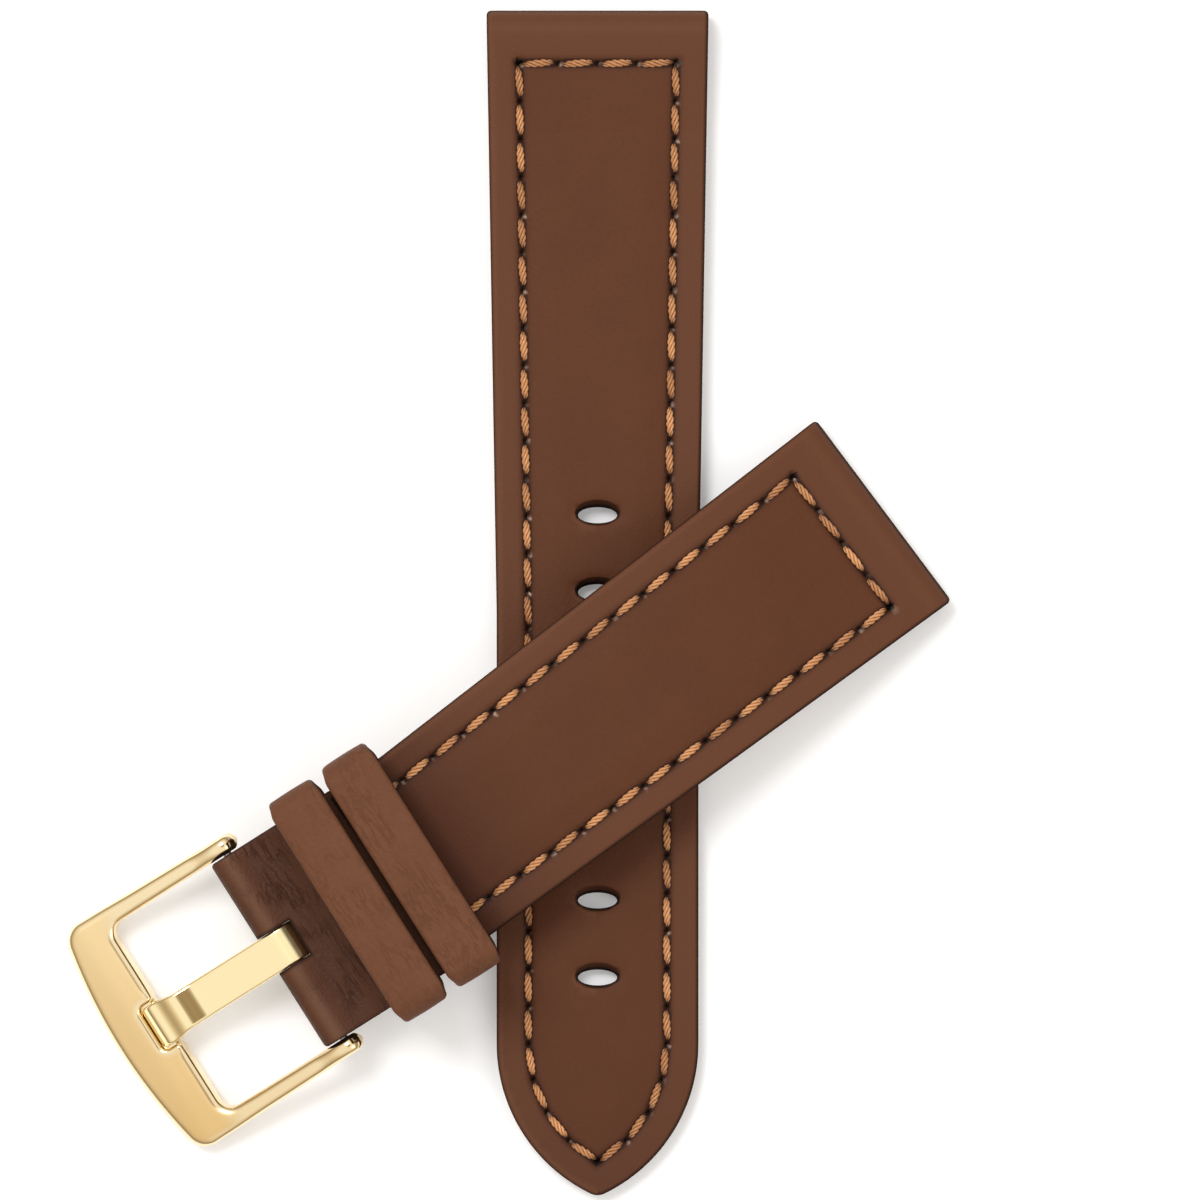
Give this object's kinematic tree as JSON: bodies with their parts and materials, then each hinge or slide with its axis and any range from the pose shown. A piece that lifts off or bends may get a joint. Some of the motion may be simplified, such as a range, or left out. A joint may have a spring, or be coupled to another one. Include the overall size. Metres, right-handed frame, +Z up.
{
  "type": "watch strap",
  "caption": "Padded leather watch strap in a tail half and a buckle half, with contrast stitching, adjusting holes, keeper loops and a gold-coloured pin buckle.",
  "frame": {"origin": "centre of the bounding box seen from above, on the table plane that the straps lie on", "axes": "+Z up from the table; +X away from the buckle, level; +Y to the left of +X, so the long strap's lug end is at +X +Y and its pointed tail at -X -Y"},
  "size_m": [0.1046, 0.1057, 0.0174],
  "materials": {
    "brown_leather": "smooth, slightly waxed",
    "lining_leather": "matte lining leather",
    "filler": "raw padding",
    "tan_thread": "waxed twisted thread",
    "gold_metal": "satin, gold coloured",
    "polished_gold": "polished, gold coloured",
    "bar_steel": "plain steel"
  },
  "bodies": {
    "long_strap": {"long_upper": "brown_leather", "long_lining": "lining_leather", "long_core": "filler", "long_thread_top": "tan_thread", "long_thread_bottom": "tan_thread"},
    "short_strap": {"short_upper": "brown_leather", "short_lining": "lining_leather", "short_core": "filler", "short_thread_top": "tan_thread", "short_thread_bottom": "tan_thread", "fixed_keeper": "brown_leather", "fixed_keeper_stitch": "tan_thread", "spring_bar_tube": "bar_steel", "spring_bar_spring": "bar_steel"},
    "loose_keeper": {"free_keeper": "brown_leather", "free_keeper_stitch": "tan_thread"},
    "buckle": {"buckle_frame": "gold_metal"},
    "tongue": {"buckle_tongue": "polished_gold"},
    "left_plunger": {"spring_bar_plunger_left": "bar_steel"},
    "right_plunger": {"spring_bar_plunger_right": "bar_steel"}
  },
  "joints": [
    {"name": "short_strap_lift", "type": "slide", "parent": "long_strap", "child": "short_strap", "axis": [0, 0, 1], "range_m": [0, 0.06]},
    {"name": "free_keeper_slide", "type": "hinge", "parent": "short_strap", "child": "loose_keeper", "pos_m": [-0.00446, -0.01368, -0.12231], "axis": [-0.0785, 0.9969, 0], "range_deg": [0, 12]},
    {"name": "buckle_swivel", "type": "hinge", "parent": "short_strap", "child": "buckle", "pos_m": [-0.03272, -0.01493, 0.00624], "axis": [0, 1, 0], "range_deg": [0, 50]},
    {"name": "tongue_swivel", "type": "hinge", "parent": "buckle", "child": "tongue", "pos_m": [-0.03272, -0.01493, 0.00624], "axis": [0, 1, 0], "range_deg": [0, 45]},
    {"name": "left_plunger_press", "type": "slide", "parent": "short_strap", "child": "left_plunger", "axis": [0, 1, 0], "range_m": [0, 0.0014], "stiffness_N_per_m": 500, "springref_m": -0.001, "deforming": ["spring_bar_spring"]},
    {"name": "right_plunger_press", "type": "slide", "parent": "short_strap", "child": "right_plunger", "axis": [0, -1, 0], "range_m": [0, 0.0014], "stiffness_N_per_m": 500, "springref_m": -0.001, "deforming": ["spring_bar_spring"]}
  ]
}
